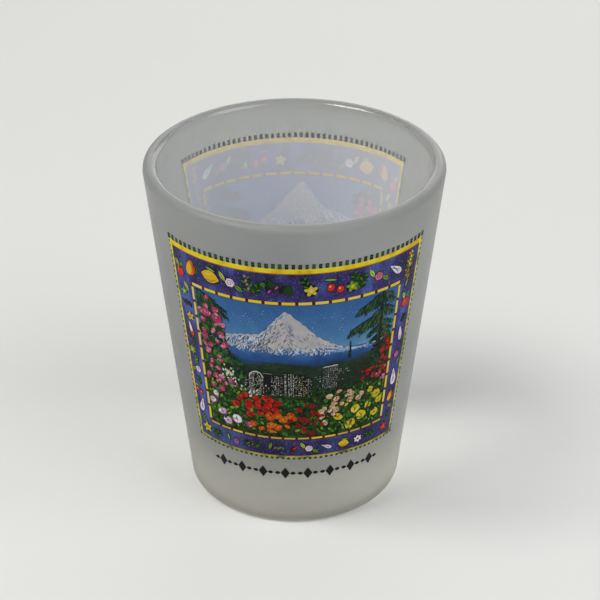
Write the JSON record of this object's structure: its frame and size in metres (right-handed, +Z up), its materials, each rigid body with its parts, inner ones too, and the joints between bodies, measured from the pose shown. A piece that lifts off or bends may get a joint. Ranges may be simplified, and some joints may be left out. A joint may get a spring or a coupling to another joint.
{
  "type": "shot glass",
  "caption": "Tapered frosted shot glass with a thick heavy base, a rounded rim and a fired-on landscape picture in a fruit-and-flower border on front and back.",
  "frame": {"origin": "centre of the foot, on the surface that the glass stands on", "axes": "+Z up along the axis of the glass; the front picture faces -Y, and +X is to the right of a viewer who looks at it"},
  "size_m": [0.0494, 0.0494, 0.06],
  "materials": {
    "frosted_glass": "frosted outside, fire-polished rim and inside",
    "white_ink": "satin fired enamel",
    "yellow_ink": "satin fired enamel",
    "green_ink": "satin fired enamel",
    "violet_ink": "satin fired enamel",
    "dark_red_ink": "satin fired enamel",
    "blue_ink": "satin fired enamel",
    "snow_ink": "satin fired enamel",
    "hill_ink": "satin fired enamel",
    "grey_ink": "satin fired enamel",
    "leaf_ink": "satin fired enamel",
    "conifer_ink": "satin fired enamel",
    "bright_leaf_ink": "satin fired enamel",
    "fruit_ink": "satin fired enamel",
    "petal_ink": "satin fired enamel",
    "red_ink": "satin fired enamel",
    "pink_ink": "satin fired enamel",
    "cream_ink": "satin fired enamel",
    "gold_ink": "satin fired enamel",
    "black_ink": "satin fired enamel"
  },
  "bodies": {
    "root": {"glass_body": "frosted_glass", "front_white_underlay": "white_ink", "front_outer_rule": "yellow_ink", "front_edge_teeth": "green_ink", "front_border_ground": "violet_ink", "front_border_fruit": "fruit_ink", "front_border_leaves": "bright_leaf_ink", "front_border_flowers": "petal_ink", "front_inner_rule": "dark_red_ink", "front_inner_dashes": "yellow_ink", "front_sky": "blue_ink", "front_mountain": "snow_ink", "front_hills": "hill_ink", "front_town": "grey_ink", "front_garden": "leaf_ink", "front_conifers": "conifer_ink", "front_shrubs": "leaf_ink", "front_red_blossoms": "red_ink", "front_pink_blossoms": "pink_ink", "front_white_blossoms": "cream_ink", "front_yellow_blossoms": "gold_ink", "front_caption_ornaments": "black_ink", "back_white_underlay": "white_ink", "back_outer_rule": "yellow_ink", "back_edge_teeth": "green_ink", "back_border_ground": "violet_ink", "back_border_fruit": "fruit_ink", "back_border_leaves": "bright_leaf_ink", "back_border_flowers": "petal_ink", "back_inner_rule": "dark_red_ink", "back_inner_dashes": "yellow_ink", "back_sky": "blue_ink", "back_mountain": "snow_ink", "back_hills": "hill_ink", "back_town": "grey_ink", "back_garden": "leaf_ink", "back_conifers": "conifer_ink", "back_shrubs": "leaf_ink", "back_red_blossoms": "red_ink", "back_pink_blossoms": "pink_ink", "back_white_blossoms": "cream_ink", "back_yellow_blossoms": "gold_ink", "back_caption_ornaments": "black_ink"}
  },
  "joints": []
}
